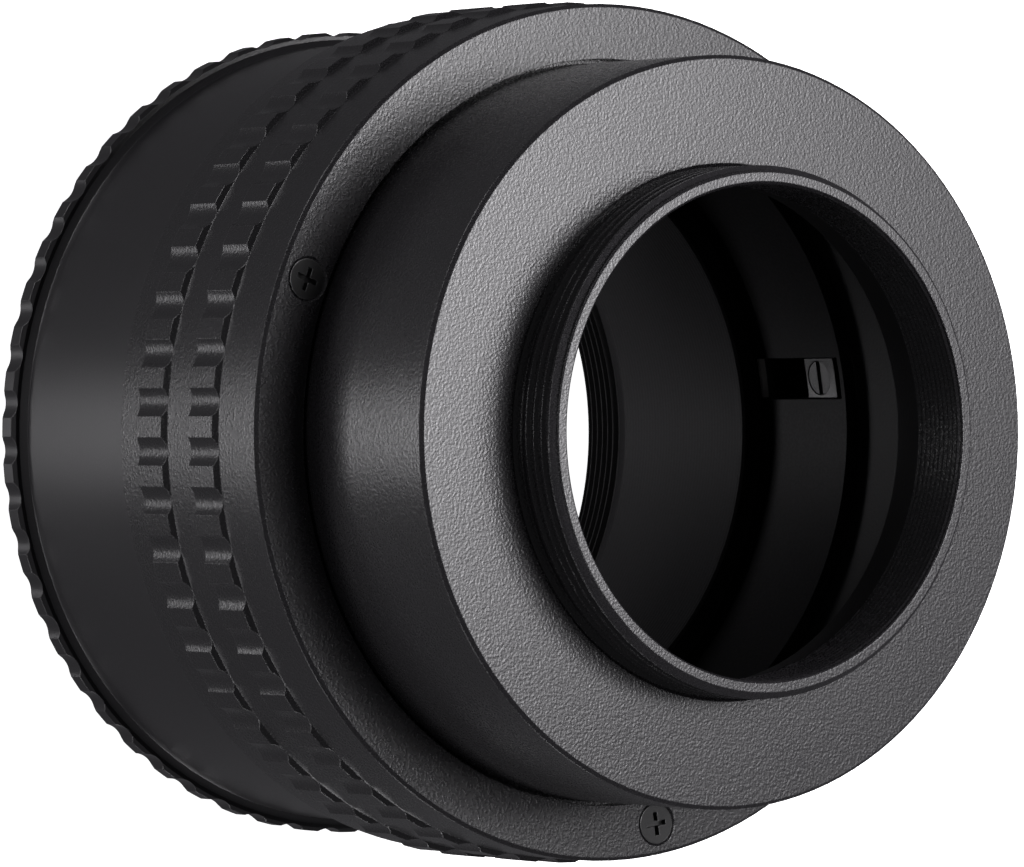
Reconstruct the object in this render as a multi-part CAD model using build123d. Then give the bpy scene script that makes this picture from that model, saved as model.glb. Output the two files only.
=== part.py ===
from build123d import *
import os

# Focusing helicoid: an adjustable extension tube for a telescope or camera.
# Z is the optical axis. The rear mounting face lies in Z = 0 and the male thread points to +Z.
# Turning the grip ring slides it along the base, and slides the front barrel out of it by the
# same amount again. A slotted guide sleeve between them keeps the barrel from turning.
# Lengths are in millimetres, angles in degrees from +X towards +Y.

# --- whole object, at the drawn-out position it is modelled in ---
BASE_TOP = 22.0              # upper rim of the base's sleeve
BARREL_FACE = 54.4           # front face of the barrel
TOTAL_LENGTH = 59.4          # tip of the male thread
RUNNING_GAP = 0.10           # radial clearance of the helicoid threads
SEAT_GAP = 0.02              # radial clearance of pieces that don't move on each other
EDGE = 0.3                   # common edge chamfer
FINE_EDGE = 0.2
OVERSHOOT = 1                # how far cutters reach past the surface that they cut

# --- scooped grip of the focus ring and of the base's rim ---
SCOOP_COUNT = 56
SCOOP_PHASE = 2.5
SCOOP_RADIUS = 1.95
SCOOP_DEPTH = 0.38

# --- base ---
RIM_R = 34.0
RIM_TOP = 1.85
SLEEVE_R = 32.85
SLEEVE_BORE_R = 32.0
SLEEVE_ROOT_BEVEL = 0.5
WEB_TOP = 2.6
WEB_BOTTOM = 1.2
MOUNT_FLANGE_R = 30.6
MOUNT_FLANGE_POCKET_R = 30.65

# --- rear mount tube, with the female thread ---
REAR_THREAD_R = 26.0
REAR_THREAD_DEPTH = 4.8
MOUNT_TUBE_R = 26.85
MOUNT_TUBE_BORE_R = 24.8
MOUNT_TUBE_TOP = 24.0
MOUNT_TAPER_TOP = 7.2
REAR_SCREW_CIRCLE_R = 28.75
REAR_SCREW_ANGLE = 68.0
REAR_SCREW_LENGTH = 2.4

# --- focus ring: grip ring and helicoid tube ---
GRIP_BORE_R = 33.05
BAND_R = 34.65
LAND_R = 35.05
GRIP_REAR = 19.05
GRIP_FRONT = 38.8
ROW_1 = (22.1, 26.2)
ROW_2 = (29.6, 33.55)
REAR_FLANK = 0.15            # length of a rib's steep rear flank
LIP_BOTTOM = 37.3
LIP_BORE_R = 30.18
TUBE_THREAD_R = SLEEVE_BORE_R - RUNNING_GAP
TUBE_BORE_R = 30.75
TUBE_REAR = 17.6
TUBE_COLLAR_R = 33.0
TUBE_COLLAR_BOTTOM = 35.0
GUIDE_SEAT_R = 31.1
GUIDE_SEAT_TOP = 20.0
FRONT_SCREW_CIRCLE_R = 32.1
FRONT_SCREW_ANGLE = 8.0
FRONT_SCREW_LENGTH = 3.3
SCREW_COUNT = 3

# --- guide sleeve, which slides but doesn't turn, and what holds it in the tube ---
GUIDE_BORE_R = 27.1
GUIDE_R = 28.3
GUIDE_TOP = 35.1
GUIDE_FLANGE_R = GUIDE_SEAT_R - RUNNING_GAP
GUIDE_FLANGE = (18.85, 19.6)
RETAINER_BORE_R = 30.2
RETAINER_TOP = 18.5
RETAINER_SLOT = (1.2, 0.5)   # width and depth of the retainer's two spanner slots
WASHER_THICKNESS = 0.3

# --- keys ---
KEY_SLOT = 3.5
KEY_WIDTH = 3.3
BARREL_KEY_ANGLES = (99.6, 279.6)
BARREL_KEY_R = (27.25, 28.6)
BARREL_KEY_Z = (30.0, 33.8)
BARREL_KEY_SCREW_Z = 31.65
BARREL_KEY_SCREW_LENGTH = 2.3
BARREL_HEAD_SINK = 0.05      # how far the screw's head sits below the key's face
BARREL_SLOT_TOP = 34.6
BASE_KEY_ANGLES = (9.6, 189.6)
BASE_KEY_R = (MOUNT_TUBE_R, 28.15)
BASE_KEY_Z = (16.9, 21.3)
BASE_KEY_SCREW_LENGTH = 2.9
BASE_HEAD_SINK = 0.1
BASE_SLOT_TOP = 34.2
BASE_KEY_REACH_R = 28.4
LEG_WIDTH = 6.0
LEG_BOTTOM = 29.8
LEG_NOTCH = 6.6
LEG_NOTCH_R = 30.15

# --- front barrel and its mount ---
BARREL_R = 29.85
BARREL_BORE_R = 28.6
BARREL_THREAD_R = TUBE_BORE_R - RUNNING_GAP
BARREL_THREAD_Z = (32.8, 36.95)
BARREL_WALL_BOTTOM = 52.2
FRONT_THREAD_R = 21.0
RELIEF_R = 20.6              # groove between the front thread and the barrel's face
RELIEF_TOP = 54.95
LIP_CHAMFER = 0.6
MOUTH_R = 19.65
MOUTH_BOTTOM = 53.8
COLLAR_BORE_R = 20.1
COLLAR_BOTTOM = 50.6
LOCK_RING_R = 24.5
LOCK_RING_SLOT = (1.6, 0.8)  # width and depth of the lock ring's two spanner slots
LOCK_RING_SLOT_ANGLE = 45

# --- screws ---
CSK_HEAD_R = 1.62
CSK_SINK = 0.08              # how far a head sits below the surface
CSK_HEIGHT = 0.82
CSK_SEAT_R = 1.82
SHANK_R = 0.78
SHANK_HOLE_R = 0.8
HOLE_SPARE = 0.05            # how much deeper a blind hole is than its screw
CROSS_WIDTH = 0.42
CROSS_SPAN = 1.9
CROSS_DEPTH = 0.55
CHEESE_HEAD_R = 1.4
CHEESE_HOLE_R = 1.45
CHEESE_HEIGHT = 0.75
CHEESE_SLOT = (0.5, 0.35)    # width and depth of the driver slot


def turned(*corners):
    """A solid turned about the Z axis from (radius, height) corners."""
    outline = Polyline(*[(radius, 0, height) for radius, height in corners], close=True)
    return revolve(Face(Wire(outline.edges())), Axis.Z)


def rod(radius, bottom, top):
    """A cylinder standing on the Z axis."""
    return Pos(0, 0, bottom) * Cylinder(radius, top - bottom, align=(Align.CENTER, Align.CENTER, Align.MIN))


def radial_block(angle, width, inner, outer, bottom, top):
    """A block that spans inner to outer along the radius at this angle."""
    block = Box(outer - inner, width, top - bottom, align=(Align.MIN, Align.CENTER, Align.MIN))
    return Rot(0, 0, angle) * Pos(inner, 0, bottom) * block


def scoops(crest_radius, bottom, top):
    """The round-bottomed cutters of one row of finger scoops."""
    centre_radius = crest_radius - SCOOP_DEPTH + SCOOP_RADIUS
    cutter = rod(SCOOP_RADIUS, bottom, top)
    places = PolarLocations(centre_radius, SCOOP_COUNT, SCOOP_PHASE)
    return [place * cutter for place in places]


def rib(row):
    """Outline of one raised grip rib, from its steep rear flank to its 45 degree front flank."""
    bottom, top = row
    height = LAND_R - BAND_R
    return [(BAND_R, bottom), (LAND_R, bottom + REAR_FLANK), (LAND_R, top - height), (BAND_R, top)]


def spanner_slots(size, angle, inner, outer, face):
    """Cutters for two opposite slots in a ring's rear face, for a two-pin spanner."""
    width, depth = size
    slot = radial_block(angle, width, inner - OVERSHOOT, outer + OVERSHOOT, face - OVERSHOOT, face + depth)
    return [slot, Rot(0, 0, 180) * slot]


def countersunk_screw(length):
    """A countersunk cross-head screw along -Z, its head's top at the origin."""
    head = Pos(0, 0, -CSK_HEIGHT / 2) * Cone(SHANK_R, CSK_HEAD_R, CSK_HEIGHT)
    shank = rod(SHANK_R, -length, -CSK_HEIGHT)
    cross = Pos(0, 0, -CROSS_DEPTH / 2) * Box(CROSS_SPAN, CROSS_WIDTH, CROSS_DEPTH)
    return head + shank - cross - Rot(0, 0, 90) * cross


def grip_screw():
    """Screw that holds the grip ring to the helicoid tube."""
    return countersunk_screw(FRONT_SCREW_LENGTH)


def mount_screw():
    """Screw that holds the rear mount tube to the base sleeve."""
    return countersunk_screw(REAR_SCREW_LENGTH)


def countersunk_hole(depth):
    """Cutter for the seat of a countersunk screw along -Z, from the surface at the origin."""
    seat_depth = CSK_HEIGHT + CSK_SINK
    seat = Pos(0, 0, -seat_depth / 2) * Cone(SHANK_HOLE_R, CSK_SEAT_R, seat_depth)
    return seat + rod(SHANK_HOLE_R, -depth, -seat_depth)


def slotted_screw(length):
    """A slotted cheese-head screw along -Z, its head's top at the origin."""
    slot_width, slot_depth = CHEESE_SLOT
    head = rod(CHEESE_HEAD_R, -CHEESE_HEIGHT, 0)
    shank = rod(SHANK_R, -length, -CHEESE_HEIGHT)
    slot = Pos(0, 0, -slot_depth / 2) * Box(slot_width, 2.2 * CHEESE_HEAD_R, slot_depth)
    return head + shank - slot


def slotted_hole(length):
    """Cutter for a cheese-head screw's counterbore and shank hole along -Z."""
    return rod(CHEESE_HOLE_R, -CHEESE_HEIGHT, OVERSHOOT) + rod(SHANK_HOLE_R, -length, -CHEESE_HEIGHT)


def inward(angle, radius, height):
    """Place for a screw driven outwards, its head facing the axis."""
    return Rot(0, 0, angle) * Pos(radius, 0, height) * Rot(0, -90, 0)


def outward(angle, radius, height):
    """Place for a screw driven inwards, its head facing away from the axis."""
    return Rot(0, 0, angle) * Pos(radius, 0, height) * Rot(0, 90, 0)


def front_screw_places(height):
    """Places of the grip ring's screws, heads towards +Z."""
    circle = PolarLocations(FRONT_SCREW_CIRCLE_R, SCREW_COUNT, FRONT_SCREW_ANGLE)
    return [Pos(0, 0, height) * place for place in circle]


def rear_screw_places(depth):
    """Places of the mount tube's screws, heads towards -Z, this far inside the rear face."""
    circle = PolarLocations(REAR_SCREW_CIRCLE_R, SCREW_COUNT, REAR_SCREW_ANGLE)
    return [Pos(0, 0, depth) * place * Rot(180, 0, 0) for place in circle]


def base_sleeve():
    """Rear rim with finger scoops, smooth outer sleeve and the web between sleeve and mount tube."""
    root = RIM_TOP + SLEEVE_ROOT_BEVEL
    body = turned(
        (MOUNT_FLANGE_POCKET_R, 0), (RIM_R - FINE_EDGE, 0), (RIM_R, FINE_EDGE), (RIM_R, RIM_TOP - EDGE),
        (RIM_R - EDGE, RIM_TOP), (SLEEVE_R + SLEEVE_ROOT_BEVEL, RIM_TOP), (SLEEVE_R, root),
        (SLEEVE_R, BASE_TOP - FINE_EDGE), (SLEEVE_R - FINE_EDGE, BASE_TOP), (SLEEVE_BORE_R, BASE_TOP),
        (SLEEVE_BORE_R, WEB_TOP), (MOUNT_TUBE_R + SEAT_GAP, WEB_TOP), (MOUNT_TUBE_R + SEAT_GAP, WEB_BOTTOM),
        (MOUNT_FLANGE_POCKET_R, WEB_BOTTOM),
    )
    body -= scoops(RIM_R, -OVERSHOOT, RIM_TOP)
    return body - [place * rod(SHANK_HOLE_R, -WEB_TOP - OVERSHOOT, 0) for place in rear_screw_places(0)]


def rear_mount_tube():
    """Female mounting thread, the inner light tube and the flange that screws to the base."""
    body = turned(
        (REAR_THREAD_R + EDGE, 0), (MOUNT_FLANGE_R, 0), (MOUNT_FLANGE_R, WEB_BOTTOM),
        (MOUNT_TUBE_R, WEB_BOTTOM), (MOUNT_TUBE_R, MOUNT_TUBE_TOP - FINE_EDGE),
        (MOUNT_TUBE_R - FINE_EDGE, MOUNT_TUBE_TOP), (MOUNT_TUBE_BORE_R + FINE_EDGE, MOUNT_TUBE_TOP),
        (MOUNT_TUBE_BORE_R, MOUNT_TUBE_TOP - FINE_EDGE), (MOUNT_TUBE_BORE_R, MOUNT_TAPER_TOP),
        (REAR_THREAD_R, REAR_THREAD_DEPTH), (REAR_THREAD_R, EDGE),
    )
    body -= [place * countersunk_hole(REAR_SCREW_LENGTH) for place in rear_screw_places(0)]
    hole = rod(SHANK_HOLE_R, -BASE_KEY_SCREW_LENGTH - HOLE_SPARE, 0)
    return body - [place * hole for place in base_key_places()]


def base_key_places():
    """Places of the base key screws, heads outwards in the keys' counterbores."""
    height = sum(BASE_KEY_Z) / 2
    return [outward(angle, BASE_KEY_R[1] - BASE_HEAD_SINK, height) for angle in BASE_KEY_ANGLES]


def barrel_key_places():
    """Places of the barrel key screws, heads inwards in the keys' counterbores."""
    radius = BARREL_KEY_R[0] + BARREL_HEAD_SINK
    return [inward(angle, radius, BARREL_KEY_SCREW_Z) for angle in BARREL_KEY_ANGLES]


def key_bar(angle, radii, heights):
    """A straight guide key that follows its seat's curve on one side."""
    inner, outer = radii
    bottom, top = heights
    bar = radial_block(angle, KEY_WIDTH, inner - OVERSHOOT, outer + OVERSHOOT, bottom, top)
    return bar & turned((inner, bottom), (outer, bottom), (outer, top), (inner, top))


def base_key(index):
    """Guide key on the outside of the mount tube, which stops the guide sleeve turning."""
    bar = key_bar(BASE_KEY_ANGLES[index], BASE_KEY_R, BASE_KEY_Z)
    return bar - base_key_places()[index] * slotted_hole(BASE_KEY_SCREW_LENGTH)


def barrel_key(index):
    """Guide key on the barrel's leg, which rides in the guide sleeve's slot."""
    bar = key_bar(BARREL_KEY_ANGLES[index], BARREL_KEY_R, BARREL_KEY_Z)
    return bar - barrel_key_places()[index] * slotted_hole(BARREL_KEY_SCREW_LENGTH)


def grip_ring():
    """Outer focus ring with two raised, scooped ribs and an inward front lip."""
    body = turned(
        (GRIP_BORE_R, GRIP_REAR), (BAND_R - EDGE, GRIP_REAR), (BAND_R, GRIP_REAR + EDGE),
        *rib(ROW_1), *rib(ROW_2),
        (BAND_R, GRIP_FRONT - EDGE), (BAND_R - EDGE, GRIP_FRONT), (LIP_BORE_R, GRIP_FRONT),
        (LIP_BORE_R, LIP_BOTTOM), (GRIP_BORE_R, LIP_BOTTOM),
    )
    for bottom, top in (ROW_1, ROW_2):
        body -= scoops(LAND_R, bottom - OVERSHOOT, top + OVERSHOOT)
    return body - [place * countersunk_hole(FRONT_SCREW_LENGTH) for place in front_screw_places(GRIP_FRONT)]


def helicoid_tube():
    """Threaded tube inside the grip ring: its outside runs in the base, its bore carries the barrel."""
    body = turned(
        (GUIDE_SEAT_R, TUBE_REAR), (TUBE_THREAD_R, TUBE_REAR), (TUBE_THREAD_R, TUBE_COLLAR_BOTTOM),
        (TUBE_COLLAR_R, TUBE_COLLAR_BOTTOM), (TUBE_COLLAR_R, LIP_BOTTOM), (TUBE_BORE_R, LIP_BOTTOM),
        (TUBE_BORE_R, GUIDE_SEAT_TOP), (GUIDE_SEAT_R, GUIDE_SEAT_TOP),
    )
    lip_thickness = GRIP_FRONT - LIP_BOTTOM
    hole = rod(SHANK_HOLE_R, lip_thickness - CSK_SINK - FRONT_SCREW_LENGTH - HOLE_SPARE, OVERSHOOT)
    return body - [place * hole for place in front_screw_places(LIP_BOTTOM)]


def guide_retainer():
    """Threaded ring in the tube's rear end that holds the guide sleeve's flange."""
    ring = turned(
        (RETAINER_BORE_R, TUBE_REAR), (GUIDE_SEAT_R, TUBE_REAR),
        (GUIDE_SEAT_R, RETAINER_TOP), (RETAINER_BORE_R, RETAINER_TOP),
    )
    return ring - spanner_slots(RETAINER_SLOT, 0, RETAINER_BORE_R, GUIDE_SEAT_R, TUBE_REAR)


def thrust_washer(bottom):
    """Slippery washer that the guide sleeve's flange runs against."""
    top = bottom + WASHER_THICKNESS
    return turned(
        (RETAINER_BORE_R, bottom), (GUIDE_FLANGE_R, bottom), (GUIDE_FLANGE_R, top), (RETAINER_BORE_R, top),
    )


def guide_sleeve():
    """Sliding sleeve, slotted for the base keys and the barrel keys, with a captive rear flange."""
    flange_bottom, flange_top = GUIDE_FLANGE
    body = turned(
        (GUIDE_BORE_R, flange_bottom), (GUIDE_FLANGE_R, flange_bottom), (GUIDE_FLANGE_R, flange_top),
        (GUIDE_R, flange_top), (GUIDE_R, GUIDE_TOP), (GUIDE_BORE_R, GUIDE_TOP),
    )
    inside = GUIDE_BORE_R - OVERSHOOT
    below = flange_bottom - OVERSHOOT
    for angle in BARREL_KEY_ANGLES:
        body -= radial_block(angle, KEY_SLOT, inside, GUIDE_R + OVERSHOOT, below, BARREL_SLOT_TOP)
        notch = radial_block(angle, LEG_NOTCH, GUIDE_R, GUIDE_FLANGE_R, below, flange_top + OVERSHOOT)
        body -= notch & rod(LEG_NOTCH_R, below, flange_top + OVERSHOOT)
    for angle in BASE_KEY_ANGLES:
        slot = radial_block(angle, KEY_SLOT, inside, GUIDE_FLANGE_R, below, BASE_SLOT_TOP)
        body -= slot & rod(BASE_KEY_REACH_R, below, BASE_SLOT_TOP)
    return body


def barrel_shell():
    """Smooth front barrel: front wall, threaded rear collar and two legs that carry the keys."""
    thread_bottom, thread_top = BARREL_THREAD_Z
    body = turned(
        (BARREL_BORE_R, thread_bottom), (BARREL_THREAD_R, thread_bottom), (BARREL_THREAD_R, thread_top),
        (BARREL_R, thread_top), (BARREL_R, BARREL_FACE - EDGE), (BARREL_R - EDGE, BARREL_FACE),
        (FRONT_THREAD_R + EDGE, BARREL_FACE), (FRONT_THREAD_R, BARREL_FACE - EDGE),
        (FRONT_THREAD_R, BARREL_WALL_BOTTOM), (BARREL_BORE_R, BARREL_WALL_BOTTOM),
    )
    shell = turned(
        (BARREL_BORE_R, LEG_BOTTOM), (BARREL_R, LEG_BOTTOM),
        (BARREL_R, thread_bottom), (BARREL_BORE_R, thread_bottom),
    )
    for angle in BARREL_KEY_ANGLES:
        leg = radial_block(
            angle, LEG_WIDTH, BARREL_BORE_R - OVERSHOOT, BARREL_R + OVERSHOOT, LEG_BOTTOM, thread_bottom,
        )
        body += shell & leg
    hole = rod(SHANK_HOLE_R, -BARREL_KEY_SCREW_LENGTH - HOLE_SPARE, 0)
    return body - [place * hole for place in barrel_key_places()]


def front_mount_collar():
    """Male mounting thread with a fine-ridged mouth, screwed into the barrel's front wall."""
    mouth_bevel = COLLAR_BORE_R - MOUTH_R
    return turned(
        (COLLAR_BORE_R, COLLAR_BOTTOM), (FRONT_THREAD_R, COLLAR_BOTTOM), (FRONT_THREAD_R, BARREL_FACE - EDGE),
        (RELIEF_R, BARREL_FACE), (RELIEF_R, RELIEF_TOP - EDGE), (FRONT_THREAD_R, RELIEF_TOP),
        (FRONT_THREAD_R, TOTAL_LENGTH - LIP_CHAMFER), (FRONT_THREAD_R - LIP_CHAMFER, TOTAL_LENGTH),
        (MOUTH_R, TOTAL_LENGTH), (MOUTH_R, MOUTH_BOTTOM), (COLLAR_BORE_R, MOUTH_BOTTOM - mouth_bevel),
    )


def collar_lock_ring():
    """Slotted ring behind the front wall that locks the mount collar."""
    bore = FRONT_THREAD_R + SEAT_GAP
    ring = turned(
        (bore, COLLAR_BOTTOM), (LOCK_RING_R, COLLAR_BOTTOM),
        (LOCK_RING_R, BARREL_WALL_BOTTOM), (bore, BARREL_WALL_BOTTOM),
    )
    return ring - spanner_slots(LOCK_RING_SLOT, LOCK_RING_SLOT_ANGLE, bore, LOCK_RING_R, COLLAR_BOTTOM)


def group(shape, places):
    """The same fastener at each place, as one node."""
    return Compound(children=[place * shape for place in places])


NODES = {
    "base_sleeve": base_sleeve(),
    "rear_mount_tube": rear_mount_tube(),
    "rear_mount_screws": group(mount_screw(), rear_screw_places(CSK_SINK)),
    "base_key_right": base_key(0),
    "base_key_left": base_key(1),
    "base_key_screws": group(slotted_screw(BASE_KEY_SCREW_LENGTH), base_key_places()),
    "guide_sleeve": guide_sleeve(),
    "grip_ring": grip_ring(),
    "grip_ring_screws": group(grip_screw(), front_screw_places(GRIP_FRONT - CSK_SINK)),
    "helicoid_tube": helicoid_tube(),
    "guide_retainer": guide_retainer(),
    "thrust_washer_rear": thrust_washer(RETAINER_TOP),
    "thrust_washer_front": thrust_washer(GUIDE_SEAT_TOP - WASHER_THICKNESS),
    "barrel_shell": barrel_shell(),
    "front_mount_collar": front_mount_collar(),
    "collar_lock_ring": collar_lock_ring(),
    "barrel_key_upper": barrel_key(0),
    "barrel_key_lower": barrel_key(1),
    "barrel_key_screws": group(slotted_screw(BARREL_KEY_SCREW_LENGTH), barrel_key_places()),
}

os.makedirs("parts", exist_ok=True)
for name, shape in NODES.items():
    export_step(shape, f"parts/{name}.step")
    print(f"{name}: {shape.volume:.1f} mm3")
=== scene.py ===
import math

import bmesh
import bpy
from mathutils import Matrix, Vector

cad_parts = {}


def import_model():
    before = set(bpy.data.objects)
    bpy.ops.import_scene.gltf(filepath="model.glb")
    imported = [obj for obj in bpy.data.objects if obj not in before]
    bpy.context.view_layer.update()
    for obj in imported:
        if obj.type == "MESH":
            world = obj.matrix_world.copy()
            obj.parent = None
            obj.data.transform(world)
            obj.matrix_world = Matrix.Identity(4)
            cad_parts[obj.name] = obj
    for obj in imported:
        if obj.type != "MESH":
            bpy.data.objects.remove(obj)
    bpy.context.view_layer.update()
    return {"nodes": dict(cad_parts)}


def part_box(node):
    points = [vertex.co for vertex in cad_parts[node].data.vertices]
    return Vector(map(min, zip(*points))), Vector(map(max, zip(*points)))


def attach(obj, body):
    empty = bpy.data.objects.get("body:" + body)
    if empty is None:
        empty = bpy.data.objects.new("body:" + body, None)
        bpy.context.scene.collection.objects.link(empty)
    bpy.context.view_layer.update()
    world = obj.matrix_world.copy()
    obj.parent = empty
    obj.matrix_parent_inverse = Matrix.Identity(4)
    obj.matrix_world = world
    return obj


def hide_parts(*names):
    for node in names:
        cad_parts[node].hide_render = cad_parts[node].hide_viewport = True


# The looks of a black focusing helicoid. Z is the optical axis, +Z points to the front, and lengths
# are in metres. The CAD nodes keep their shapes and get anodised, steel and plastic finishes. The front
# collar is built again with its screw thread and ridged mouth, and the rear tube gets two ridged liners.

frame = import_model()
MM = 0.001

# --- threads and ridges ---
COLUMNS = 240                      # facets round every turned piece
# Each profile is the share of full depth at equal steps along one pitch.
THREAD_PROFILE = (1, 1, 0.67, 0.33, 0, 0, 0.33, 0.67)
CREST_PROFILE = (1, 1, 1, 0.67, 0.33, 0, 0.33, 0.67)    # a wider, blunt crest
RIDGE_PROFILE = (1, 0.55, 0, 0.45)
FRONT_PITCH = 1.0 * MM             # M42 x 1
FRONT_THREAD_DEPTH = 0.6 * MM
MOUTH_PITCH = 0.55 * MM
MOUTH_DEPTH = 0.15 * MM
REAR_PITCH = 0.75 * MM             # M52 x 0.75
REAR_DEPTH = 0.4 * MM
BAFFLE_PITCH = 0.4 * MM
BAFFLE_DEPTH = 0.02 * MM
SEATED = 0.08 * MM                 # how far a liner's back lies inside the wall that it sits on
WELD = 0.0005 * MM                 # vertices closer than this are one
SHARP_EDGE = math.radians(22)
MOUTH_R = 19.65 * MM               # clear opening of the front collar, down to MOUTH_BOTTOM
MOUTH_BOTTOM = 53.8 * MM
COLLAR_BORE_R = 20.1 * MM
COLLAR_RELIEF = 0.45 * MM          # plain neck between the barrel's face and the first thread
NECK_STEP = 0.3 * MM               # the neck widens again this far below the barrel's face
LIP_EDGE = 0.08 * MM
REAR_THREAD_R = 26.0 * MM
REAR_THREAD_SPAN = (0.35 * MM, 4.75 * MM)
LIGHT_TUBE_R = 24.8 * MM
LIGHT_TUBE_SPAN = (7.4 * MM, 23.6 * MM)
BARREL_SHADED_HOLLOW = (29.2 * MM, 53.0 * MM)     # the barrel is rougher inside this radius and below this height, and its colour there is painted darker as shade in the bore
COLLAR_SHADED_HOLLOW = (20.3 * MM, 53.85 * MM)    # the same for the front collar

# --- finishes ---
BLACK = (0.0095, 0.0090, 0.0100)
# dull black of the matte parts, also painted inside the barrel's and the collar's bores as shade
DULL_AND_BORE_SHADE = (0.0085, 0.0082, 0.0088)
RUBBED_AND_GLINT = (0.10, 0.098, 0.102)      # black anodising worn along an edge, also a painted highlight on the edge
OXIDE = (0.02, 0.02, 0.02)
# BRIGHT_OXIDE and BRIGHT_STEEL show on rubbed edges of screws and keys, and also paint an edge highlight
# there
BRIGHT_OXIDE = (0.3, 0.3, 0.3)
STEEL = (0.07, 0.07, 0.07)
BRIGHT_STEEL = (0.3, 0.3, 0.29)
PLASTIC_SHADE = (0.62, 0.61, 0.57, 1)
PLASTIC_LIGHT = (0.8, 0.79, 0.75, 1)
SPECK_SHARE = 0.75                 # how much of the tone comes from the grain, the rest from the cloud
TONE_RANGE = (0.72, 1.35)          # darkest and lightest tone, as shares of the colour
EDGE_ROUNDING = 0.09 * MM
WORN_AND_GLINT_PATCH = 1.3 * MM              # size of the patches in which edges are worn and painted with a highlight
CLOUD = 9 * MM                     # size of the slow variation in tone and gloss
CLOUD_GLOSS = 0.03                 # this and the next four: how much each changes the roughness
SPECK_GLOSS = 0.02
MARK_GLOSS = 0.06
WORN_GLOSS = 0.12
DULL_GLOSS = 0.4
WAVER = 0.12 * MM                  # how far the tool marks stray from true circles
WAVER_SIZE = 6 * MM

# --- studio ---
VIEW_ANGLE = math.radians(35.77)   # between the optical axis and the line of sight
CAMERA_PLACE = (0, -0.3440, 0.5024)
LENS = 251.05
SENSOR = 36.0
SHIFT_Y = -0.0011
OBJECT_MIDDLE = (0, 0, 0.03)       # where the lamps point
NEAR = (0.12, 0.32)                # size and distance of a lamp close to the flange
FAR = (0.19, 0.65)                 # the same for a lamp further off
LEFT_ARC = (130, 155, 205, 230)    # degrees round the line of sight, from the right by way of the top
LAMP_COLOUR = (1.0, 0.985, 1.015)
COVE_RADIUS = 2.5
COVE_SWEEP = 1.0                   # radius of the curve from the floor to the wall
COVE_STEPS = 12
COVE_WALL = 3.0
COVE_TOP = 3.4
COVE_DROP = 0.05 * MM              # the floor lies this far under the object


# ---------------------------------------------------------------- meshes

def ring(mesh, radius, height):
    """One circle of vertices."""
    made = []
    for j in range(COLUMNS):
        angle = 2 * math.pi * j / COLUMNS
        made.append(mesh.verts.new((radius * math.cos(angle), radius * math.sin(angle), height)))
    return made


def turned_wall(mesh, corners):
    """A wall turned about the Z axis through (radius, height) corners."""
    rings = [ring(mesh, radius, height) for radius, height in corners]
    for lower, upper in zip(rings, rings[1:]):
        for j in range(COLUMNS):
            k = (j + 1) % COLUMNS
            mesh.faces.new((lower[j], lower[k], upper[k], upper[j]))


def thread_wall(mesh, pitch, low, high, radius_at, profile):
    """A right-hand helical thread wall from low to high. radius_at(height, share) gives the radius for a
    share of the full thread depth. It has a single value at each end, so the wall ends in plain circles."""
    steps = len(profile)
    rows = steps * (math.ceil((high - low) / pitch) + 1) + 1
    columns = []
    for j in range(COLUMNS):
        angle = 2 * math.pi * j / COLUMNS
        column = []
        for i in range(rows):
            height = low + pitch * (i / steps - 1 + j / COLUMNS)
            height = min(max(height, low), high)
            radius = radius_at(height, profile[i % steps])
            column.append(mesh.verts.new((radius * math.cos(angle), radius * math.sin(angle), height)))
        columns.append(column)
    for j in range(COLUMNS):
        here = columns[j]
        there = columns[(j + 1) % COLUMNS]
        lift = steps if j == COLUMNS - 1 else 0
        for i in range(rows - 1):
            low_end = min(i + lift, rows - 1)
            high_end = min(i + 1 + lift, rows - 1)
            if low_end == high_end:
                if here[i].co == here[i + 1].co:
                    continue
                mesh.faces.new((here[i], there[low_end], here[i + 1]))
            else:
                mesh.faces.new((here[i], there[low_end], there[high_end], here[i + 1]))


def finish_mesh(name, mesh, body, material):
    """Welds a turned piece shut, gives it crisp edges and hands it to the frame."""
    bmesh.ops.remove_doubles(mesh, verts=mesh.verts, dist=WELD)
    bmesh.ops.dissolve_degenerate(mesh, edges=mesh.edges, dist=WELD)
    bmesh.ops.recalc_face_normals(mesh, faces=mesh.faces)
    data = bpy.data.meshes.new(name)
    mesh.to_mesh(data)
    mesh.free()
    data.shade_smooth()
    data.set_sharp_from_angle(angle=SHARP_EDGE)
    piece = bpy.data.objects.new(name, data)
    bpy.context.scene.collection.objects.link(piece)
    data.materials.append(material)
    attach(piece, body)
    return piece


def front_collar(material):
    """The male mounting thread with its chamfered lip and finely ridged mouth, as one closed piece."""
    low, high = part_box("front_mount_collar")
    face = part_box("barrel_shell")[1].z
    crest = high.x
    root = crest - FRONT_THREAD_DEPTH
    top = high.z
    relief_top = face + COLLAR_RELIEF
    edge = LIP_EDGE

    def outside(height, share):
        chamfer = root + (top - height)
        run_in = root + (height - relief_top)
        return min(root + share * FRONT_THREAD_DEPTH, chamfer, run_in)

    def inside(height, share):
        return MOUTH_R - min(share * MOUTH_DEPTH, height - MOUTH_BOTTOM, top - edge - height)

    mesh = bmesh.new()
    thread_wall(mesh, FRONT_PITCH, relief_top, top, outside, CREST_PROFILE)
    shoulder = MOUTH_BOTTOM - COLLAR_BORE_R + MOUTH_R
    turned_wall(mesh, [
        (root, relief_top), (root, face), (crest, face - NECK_STEP), (crest, low.z),
        (COLLAR_BORE_R, low.z), (COLLAR_BORE_R, shoulder), (MOUTH_R, MOUTH_BOTTOM),
    ])
    thread_wall(mesh, MOUTH_PITCH, MOUTH_BOTTOM, top - edge, inside, THREAD_PROFILE)
    turned_wall(mesh, [(MOUTH_R, top - edge), (MOUTH_R + edge, top), (root, top)])
    piece = finish_mesh("threaded_front_collar", mesh, "barrel", material)
    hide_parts("front_mount_collar")


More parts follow.
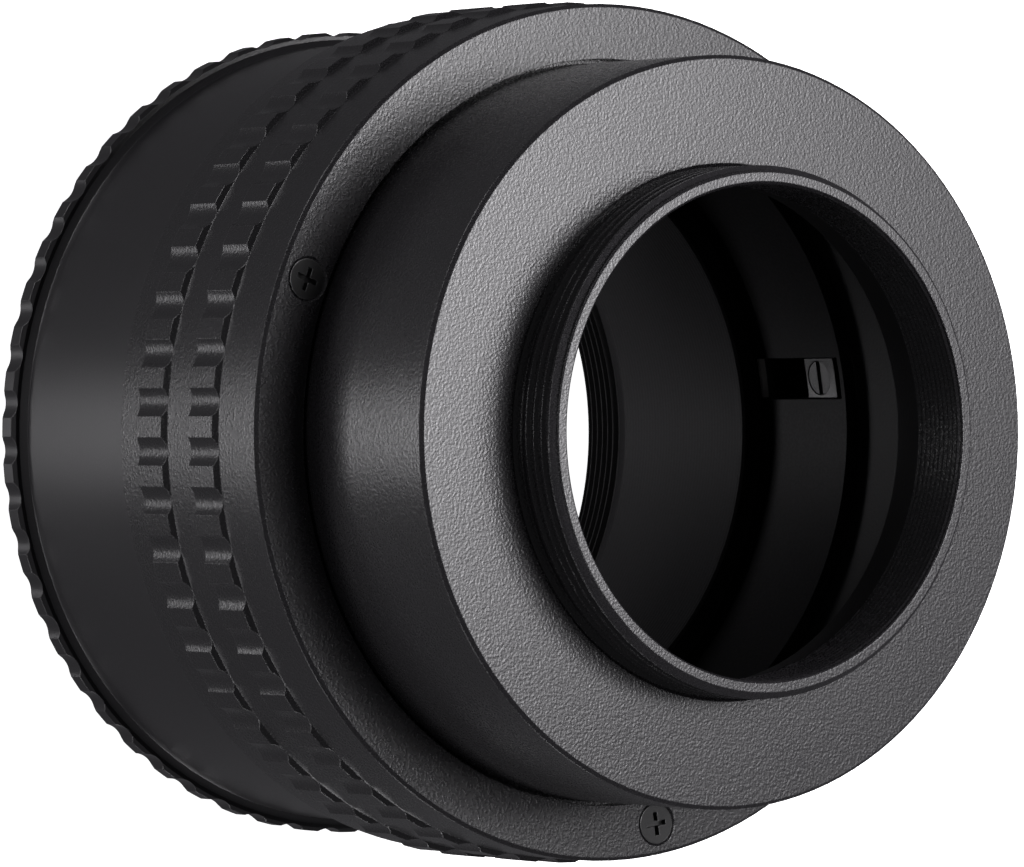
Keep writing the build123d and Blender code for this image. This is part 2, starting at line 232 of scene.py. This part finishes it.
def lined_bore(name, radius, span, pitch, depth, profile, material):
    """A ring of fine internal ridges, seated in a bore of the rear mount tube."""
    low, high = span

    def inside(height, share):
        return radius - min(share * depth, height - low, high - height)

    mesh = bmesh.new()
    thread_wall(mesh, pitch, low, high, inside, profile)
    turned_wall(mesh, [(radius, high), (radius + SEATED, high), (radius + SEATED, low), (radius, low)])
    finish_mesh(name, mesh, "base", material)


# ---------------------------------------------------------------- materials

def add(tree, kind, inputs=None, **settings):
    """Adds a shader node. inputs gives each named or numbered socket a value or another node's output."""
    made = tree.nodes.new("ShaderNode" + kind)
    for name, value in settings.items():
        setattr(made, name, value)
    for socket, value in (inputs or {}).items():
        if isinstance(value, bpy.types.NodeSocket):
            tree.links.new(value, made.inputs[socket])
        else:
            made.inputs[socket].default_value = value
    return made


def maths(tree, operation, first, second=0.0, third=0.0):
    """The output of one Math node."""
    return add(tree, "Math", {0: first, 1: second, 2: third}, operation=operation).outputs[0]


def noise(tree, size, detail=2.0):
    """Cloudy noise from 0 to 1 whose spots measure about this size."""
    place = add(tree, "TexCoord").outputs["Object"]
    settings = {"Vector": place, "Scale": 1 / size, "Detail": detail, "Roughness": 0.55}
    return add(tree, "TexNoise", settings).outputs["Fac"]


def about_axis(tree):
    """The distance from the Z axis and the height."""
    split = add(tree, "SeparateXYZ", {0: add(tree, "TexCoord").outputs["Object"]})
    flat = add(tree, "CombineXYZ", {0: split.outputs[0], 1: split.outputs[1]})
    distance = add(tree, "VectorMath", {0: flat.outputs[0]}, operation="LENGTH").outputs["Value"]
    return distance, split.outputs[2]


def turning(tree, size):
    """Fine circular tool marks, the same all round a circle but for a slight waver."""
    distance, height = about_axis(tree)
    along = maths(tree, "ADD", distance, height)
    waver = maths(tree, "MULTIPLY", noise(tree, WAVER_SIZE, 1.0), WAVER)
    along = maths(tree, "ADD", along, waver)
    settings = {"W": along, "Scale": 1 / size, "Detail": 3.0, "Roughness": 0.7}
    return add(tree, "TexNoise", settings, noise_dimensions="1D").outputs["Fac"]


def spread(tree, value, low, high, to_low=0.0, to_high=1.0):
    """value, stretched from low..high to to_low..to_high and held there."""
    made = add(tree, "MapRange", {0: value, 1: low, 2: high, 3: to_low, 4: to_high})
    return made.outputs[0]


def mix(tree, share, first, second):
    """Blend of two colours."""
    made = add(tree, "Mix", {0: share, 6: first, 7: second}, data_type="RGBA")
    return made.outputs[2]


def worn_and_glinting_edges(tree, bevel):
    """From 0 on flat stretches to 1 on the rubbed outside of an edge, in patches. It marks rubbed anodising
    and a painted edge highlight.
    """
    normal = add(tree, "NewGeometry").outputs["Normal"]
    bend = add(tree, "VectorMath", {0: bevel, 1: normal}, operation="DOT_PRODUCT").outputs["Value"]
    edge = spread(tree, bend, 0.99, 0.88)
    patches = spread(tree, noise(tree, WORN_AND_GLINT_PATCH, 3.0), 0.35, 0.7, 0.25, 1.0)
    return maths(tree, "MULTIPLY", edge, patches)


def shaded_hollow(tree, radius, top):
    """1 inside this radius and below this height, where the anodising is rougher and its colour is painted
    darker as shade in the bore, and 0 outside.
    """
    distance, height = about_axis(tree)
    inside = maths(tree, "LESS_THAN", distance, radius)
    below = maths(tree, "LESS_THAN", height, top)
    return maths(tree, "MULTIPLY", inside, below)


def shaded(colour, share):
    """The colour, lighter or darker by this share, with full alpha."""
    return [share * c for c in colour] + [1.0]


def bumped(tree, depth, height, normal):
    """The normal, bent by a relief of this depth."""
    inputs = {"Strength": 1.0, "Distance": depth, "Height": height, "Normal": normal}
    return add(tree, "Bump", inputs).outputs[0]


def metal(name, colour, bright, rough, grain, marks=None, wear_and_glint=0.5, metallic=0.0, shine=0.5, dull_and_shade=None):
    """A machined finish. grain and marks are (depth, size), in millimetres, of the skin's fine grain and
    of the circular tool marks. bright shows on rubbed edges, also as a painted edge highlight, and the bore
    mask argument makes the inside rougher and paints it darker as shade."""
    material = bpy.data.materials.new(name)
    material.use_nodes = True
    tree = material.node_tree
    shader = tree.nodes["Principled BSDF"]
    bevel = add(tree, "Bevel", {"Radius": EDGE_ROUNDING}, samples=4).outputs["Normal"]
    grain_depth, grain_size = grain
    speck = noise(tree, grain_size * MM, 1.0)
    cloud = noise(tree, CLOUD, 3.0)
    # rubbed edges, which also carry a painted edge highlight
    worn_and_glint = maths(tree, "MULTIPLY", worn_and_glinting_edges(tree, bevel), wear_and_glint)
    darkest, lightest = TONE_RANGE
    slow_tone = maths(tree, "MULTIPLY", cloud, 1 - SPECK_SHARE)
    tone = maths(tree, "MULTIPLY_ADD", spread(tree, speck, 0.35, 0.68), SPECK_SHARE, slow_tone)
    body = mix(tree, tone, shaded(colour, darkest), shaded(colour, lightest))
    scatter = maths(tree, "MULTIPLY_ADD", cloud, CLOUD_GLOSS, rough - CLOUD_GLOSS / 2)
    scatter = maths(tree, "ADD", scatter, spread(tree, speck, 0.32, 0.68, SPECK_GLOSS, -SPECK_GLOSS))
    # inside the bore the colour is painted darker as shade, and the roughness is raised
    if dull_and_shade:
        shade = shaded_hollow(tree, *dull_and_shade)
        body = mix(tree, shade, body, shaded(DULL_AND_BORE_SHADE, 1.0))
        scatter = maths(tree, "MULTIPLY_ADD", shade, DULL_GLOSS, scatter)
    # edges get the bright colour: rubbed anodising and a painted highlight
    tree.links.new(mix(tree, worn_and_glint, body, shaded(bright, 1.0)), shader.inputs["Base Color"])
    skin = bumped(tree, grain_depth * MM, speck, bevel)
    if marks:
        mark_depth, mark_size = marks
        lines = turning(tree, mark_size * MM)
        scatter = maths(tree, "ADD", scatter, -MARK_GLOSS / 2)
        scatter = maths(tree, "MULTIPLY_ADD", lines, MARK_GLOSS, scatter)
        skin = bumped(tree, mark_depth * MM, lines, skin)
    tree.links.new(maths(tree, "MULTIPLY_ADD", worn_and_glint, -WORN_GLOSS, scatter), shader.inputs["Roughness"])
    tree.links.new(skin, shader.inputs["Normal"])
    shader.inputs["Specular IOR Level"].default_value = shine
    shader.inputs["Metallic"].default_value = metallic
    return material


def slippery_plastic():
    """White PTFE with a faint sawn grain."""
    material = bpy.data.materials.new("ptfe")
    material.use_nodes = True
    tree = material.node_tree
    shader = tree.nodes["Principled BSDF"]
    cloud = noise(tree, 2 * MM, 3.0)
    tree.links.new(mix(tree, cloud, PLASTIC_SHADE, PLASTIC_LIGHT), shader.inputs["Base Color"])
    tree.links.new(spread(tree, cloud, 0.3, 0.7, 0.4, 0.55), shader.inputs["Roughness"])
    bump = add(tree, "Bump", {"Distance": 0.01 * MM, "Height": turning(tree, 0.1 * MM)})
    tree.links.new(bump.outputs[0], shader.inputs["Normal"])
    return material


finishes = {
    "collar": metal("black_anodised_collar", BLACK, RUBBED_AND_GLINT, 0.27, grain=(0.024, 0.22), dull_and_shade=COLLAR_SHADED_HOLLOW),
    "barrel": metal("black_anodised_barrel", BLACK, RUBBED_AND_GLINT, 0.27, grain=(0.024, 0.22), dull_and_shade=BARREL_SHADED_HOLLOW),
    "satin": metal("black_anodised_satin", BLACK, RUBBED_AND_GLINT, 0.28, grain=(0.022, 0.22), wear_and_glint=0.8),
    "sleeve": metal("black_anodised_fine", BLACK, RUBBED_AND_GLINT, 0.31, grain=(0.004, 0.15), marks=(0.0008, 0.16)),
    "turned": metal("black_anodised_turned", BLACK, RUBBED_AND_GLINT, 0.34, grain=(0.004, 0.15), marks=(0.003, 0.2)),
    "matte": metal("black_anodised_matte", DULL_AND_BORE_SHADE, RUBBED_AND_GLINT, 0.5, grain=(0.006, 0.2), marks=(0.002, 0.2),
                   wear_and_glint=0.1, shine=0.12),
    "screw": metal("black_oxide_steel", OXIDE, BRIGHT_OXIDE, 0.3, grain=(0.003, 0.1),
                   wear_and_glint=1.0, metallic=0.6),
    "key": metal("greased_key_steel", STEEL, BRIGHT_STEEL, 0.35, grain=(0.003, 0.1), marks=(0.003, 0.1),
                 metallic=1.0),
    "ptfe": slippery_plastic(),
}
FINISH_OF = {
    "base_sleeve": "sleeve",
    "rear_mount_tube": "matte",
    "rear_mount_screws": "screw",
    "base_key_right": "key",
    "base_key_left": "key",
    "base_key_screws": "key",
    "guide_sleeve": "matte",
    "grip_ring": "satin",
    "grip_ring_screws": "screw",
    "helicoid_tube": "turned",
    "guide_retainer": "turned",
    "thrust_washer_rear": "ptfe",
    "thrust_washer_front": "ptfe",
    "barrel_shell": "barrel",
    "collar_lock_ring": "matte",
    "barrel_key_upper": "key",
    "barrel_key_lower": "key",
    "barrel_key_screws": "key",
}
for node_name, finish in FINISH_OF.items():
    data = frame["nodes"][node_name].data
    data.materials.clear()
    data.materials.append(finishes[finish])

front_collar(finishes["collar"])
lined_bore("rear_thread", REAR_THREAD_R, REAR_THREAD_SPAN, REAR_PITCH, REAR_DEPTH, THREAD_PROFILE,
           finishes["matte"])
lined_bore("light_trap_ridges", LIGHT_TUBE_R, LIGHT_TUBE_SPAN, BAFFLE_PITCH, BAFFLE_DEPTH, RIDGE_PROFILE,
           finishes["matte"])


# ---------------------------------------------------------------- studio

def glowing(name, strength):
    """Plain white that doesn't need any light."""
    material = bpy.data.materials.new(name)
    material.use_nodes = True
    shader = material.node_tree.nodes["Principled BSDF"]
    shader.inputs["Base Color"].default_value = (0.9, 0.9, 0.9, 1)
    shader.inputs["Emission Color"].default_value = (1, 1, 1, 1)
    shader.inputs["Emission Strength"].default_value = strength
    return material


def cove():
    """A white floor that rises into a round wall, seen by the camera but not mirrored in the metal."""
    mesh = bmesh.new()
    middle = 0.1 * MM
    flat = COVE_RADIUS - COVE_SWEEP
    corners = [(middle, 0), (flat, 0)]
    for i in range(1, COVE_STEPS + 1):
        turn = math.pi / 2 * i / COVE_STEPS
        corners.append((flat + COVE_SWEEP * math.sin(turn), COVE_SWEEP - COVE_SWEEP * math.cos(turn)))
    corners += [(COVE_RADIUS, COVE_WALL), (middle, COVE_TOP)]
    turned_wall(mesh, corners)
    bmesh.ops.translate(mesh, verts=mesh.verts, vec=(0, 0, -COVE_DROP))
    data = bpy.data.meshes.new("studio_cove")
    mesh.to_mesh(data)
    mesh.free()
    floor = bpy.data.objects.new("studio_cove", data)
    bpy.context.scene.collection.objects.link(floor)
    data.materials.append(glowing("white_sweep", 1.05))
    floor.visible_glossy = False
    floor.visible_diffuse = False
    floor.visible_shadow = False


RIGHT = Vector((0, math.cos(VIEW_ANGLE), math.sin(VIEW_ANGLE)))
UP = Vector((-1, 0, 0))
BACK = Vector((0, -math.sin(VIEW_ANGLE), math.cos(VIEW_ANGLE)))


def camera():
    """The camera looks down on the front face, with the optical axis lying across the picture."""
    data = bpy.data.cameras.new("camera")
    data.sensor_width = SENSOR
    data.lens = LENS
    data.shift_y = SHIFT_Y
    data.clip_start = 0.01
    made = bpy.data.objects.new("camera", data)
    turn = Matrix((RIGHT, UP, BACK)).transposed().to_4x4()
    made.matrix_world = Matrix.Translation(CAMERA_PLACE) @ turn
    bpy.context.scene.collection.objects.link(made)
    bpy.context.scene.camera = made


def softbox(name, direction, power, reach):
    """A square area light. direction is right, up and towards the camera, as seen in the picture.
    reach is the light's size and its distance from the object's middle."""
    size, distance = reach
    data = bpy.data.lights.new(name, "AREA")
    data.shape = "SQUARE"
    data.size = size
    data.energy = power
    data.color = LAMP_COLOUR
    made = bpy.data.objects.new(name, data)
    middle = Vector(OBJECT_MIDDLE)
    right, up, back = Vector(direction).normalized()
    place = middle + distance * (right * RIGHT + up * UP + back * BACK)
    turn = (place - middle).to_track_quat("Z", "Y").to_matrix().to_4x4()
    made.matrix_world = Matrix.Translation(place) @ turn
    made.visible_camera = False
    bpy.context.scene.collection.objects.link(made)


def world(strength):
    """Faint even fill from all sides."""
    made = bpy.data.worlds.new("world")
    made.use_nodes = True
    made.node_tree.nodes["Background"].inputs["Color"].default_value = (1, 0.985, 1.05, 1)
    made.node_tree.nodes["Background"].inputs["Strength"].default_value = strength
    bpy.context.scene.world = made


cove()
camera()
# Four lamps shape the flange from the right, one catches the thread's flanks, and an arc of equal lamps
# round the left with a rim lamp behind it lights the turned sides. One more lifts them from below.
softbox("flange_front", (0.7, 0.0, 0.7), 0.9, NEAR)
softbox("flange_upper", (0.75, 0.3, 0.55), 0.5, NEAR)
softbox("flange_side", (0.9, 0.1, 0.4), 0.15, NEAR)
softbox("right_key", (0.85, 0.15, 0.5), 0.75, FAR)
softbox("thread_glint", (-0.75, 0.1, 0.65), 0.7, FAR)
softbox("left_rim", (-1.0, 0.0, -0.1), 0.75, FAR)
softbox("below", (-0.25, -0.95, -0.3), 0.8, FAR)
for clock in LEFT_ARC:
    turn = math.radians(clock)
    softbox(f"left_arc_{clock}", (math.cos(turn), math.sin(turn), 0.15), 0.75, FAR)
world(strength=0.1)
bpy.context.scene.view_settings.view_transform = "Standard"
